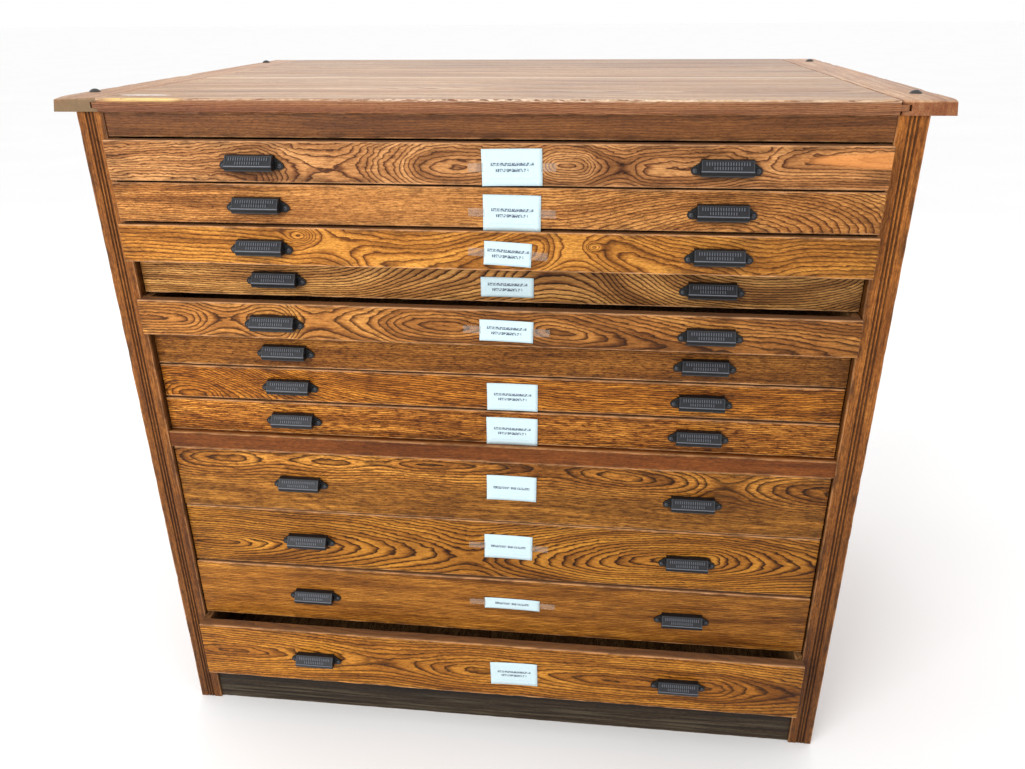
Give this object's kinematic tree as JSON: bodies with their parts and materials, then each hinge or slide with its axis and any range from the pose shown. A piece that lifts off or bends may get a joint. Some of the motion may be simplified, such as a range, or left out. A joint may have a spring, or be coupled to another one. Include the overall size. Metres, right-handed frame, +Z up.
{
  "type": "flat file cabinet",
  "caption": "Wooden flat file cabinet for maps: shallow drawers over deep drawers, all on wooden runners, each with cast bin pulls, in a post and panel case under a boarded top.",
  "frame": {"origin": "on the floor, under the middle of the whole cabinet with its drawers at rest", "axes": "+X to the right as seen from the front, -Y towards the front where the drawers pull out, +Z up"},
  "size_m": [1.284, 0.948, 1.179],
  "materials": {
    "front_wood": "old varnish, satin, bold brown grain",
    "case_wood": "old varnish, satin",
    "top_wood": "worn varnish, satin",
    "divider_wood": "dark red-brown stain",
    "toe_wood": "bare, dark and weathered",
    "inner_wood": "bare wood, darkened with age",
    "cast_iron": "worn black japanning",
    "dark_steel": "dark, dull",
    "label_card": "white paper card",
    "clear_tape": "clear tape, yellowed"
  },
  "bodies": {
    "case": {"top_boards": "top_wood", "top_end_left": "top_wood", "top_end_right": "top_wood", "top_bolts": "dark_steel", "top_cleats": "inner_wood", "post_front_left": "case_wood", "post_front_right": "case_wood", "post_back_left": "case_wood", "post_back_right": "case_wood", "rail_top": "case_wood", "rail_middle": "divider_wood", "toe_board": "toe_wood", "side_rails_left": "case_wood", "side_rails_right": "case_wood", "side_panels_left": "case_wood", "side_panels_right": "case_wood", "back_rails": "case_wood", "back_panels": "case_wood", "runner_battens": "inner_wood", "runners_left": "inner_wood", "runners_right": "inner_wood", "kickers": "inner_wood", "drawer_stops": "inner_wood", "side_bolt": "dark_steel"},
    "drawer_01": {"drawer_01_front": "front_wood", "drawer_01_box": "inner_wood", "drawer_01_pulls": "cast_iron"},
    "drawer_02": {"drawer_02_front": "front_wood", "drawer_02_box": "inner_wood", "drawer_02_pulls": "cast_iron"},
    "drawer_03": {"drawer_03_front": "front_wood", "drawer_03_box": "inner_wood", "drawer_03_pulls": "cast_iron"},
    "drawer_04": {"drawer_04_front": "front_wood", "drawer_04_box": "inner_wood", "drawer_04_pulls": "cast_iron"},
    "drawer_05": {"drawer_05_front": "front_wood", "drawer_05_box": "inner_wood", "drawer_05_pulls": "cast_iron"},
    "drawer_06": {"drawer_06_front": "front_wood", "drawer_06_box": "inner_wood", "drawer_06_pulls": "cast_iron"},
    "drawer_07": {"drawer_07_front": "front_wood", "drawer_07_box": "inner_wood", "drawer_07_pulls": "cast_iron"},
    "drawer_08": {"drawer_08_front": "front_wood", "drawer_08_box": "inner_wood", "drawer_08_pulls": "cast_iron"},
    "drawer_09": {"drawer_09_front": "front_wood", "drawer_09_box": "inner_wood", "drawer_09_pulls": "cast_iron"},
    "drawer_10": {"drawer_10_front": "front_wood", "drawer_10_box": "inner_wood", "drawer_10_pulls": "cast_iron"},
    "drawer_11": {"drawer_11_front": "front_wood", "drawer_11_box": "inner_wood", "drawer_11_pulls": "cast_iron"},
    "drawer_12": {"drawer_12_front": "front_wood", "drawer_12_box": "inner_wood", "drawer_12_pulls": "cast_iron"}
  },
  "joints": [
    {"name": "drawer_01_slide", "type": "slide", "parent": "case", "child": "drawer_01", "axis": [0, -1, 0], "range_m": [-0.04, 0.58]},
    {"name": "drawer_02_slide", "type": "slide", "parent": "case", "child": "drawer_02", "axis": [0, -1, 0], "range_m": [-0.037, 0.583]},
    {"name": "drawer_03_slide", "type": "slide", "parent": "case", "child": "drawer_03", "axis": [0, -1, 0], "range_m": [-0.044, 0.576]},
    {"name": "drawer_04_slide", "type": "slide", "parent": "case", "child": "drawer_04", "axis": [0, -1, 0], "range_m": [-0.005, 0.615]},
    {"name": "drawer_05_slide", "type": "slide", "parent": "case", "child": "drawer_05", "axis": [0, -1, 0], "range_m": [-0.036, 0.584]},
    {"name": "drawer_06_slide", "type": "slide", "parent": "case", "child": "drawer_06", "axis": [0, -1, 0], "range_m": [-0.006, 0.614]},
    {"name": "drawer_07_slide", "type": "slide", "parent": "case", "child": "drawer_07", "axis": [0, -1, 0], "range_m": [-0.006, 0.614]},
    {"name": "drawer_08_slide", "type": "slide", "parent": "case", "child": "drawer_08", "axis": [0, -1, 0], "range_m": [-0.007, 0.613]},
    {"name": "drawer_09_slide", "type": "slide", "parent": "case", "child": "drawer_09", "axis": [0, -1, 0], "range_m": [-0.014, 0.606]},
    {"name": "drawer_10_slide", "type": "slide", "parent": "case", "child": "drawer_10", "axis": [0, -1, 0], "range_m": [-0.012, 0.608]},
    {"name": "drawer_11_slide", "type": "slide", "parent": "case", "child": "drawer_11", "axis": [0, -1, 0], "range_m": [-0.015, 0.605]},
    {"name": "drawer_12_slide", "type": "slide", "parent": "case", "child": "drawer_12", "axis": [0, -1, 0], "range_m": [-0.05, 0.57]}
  ]
}
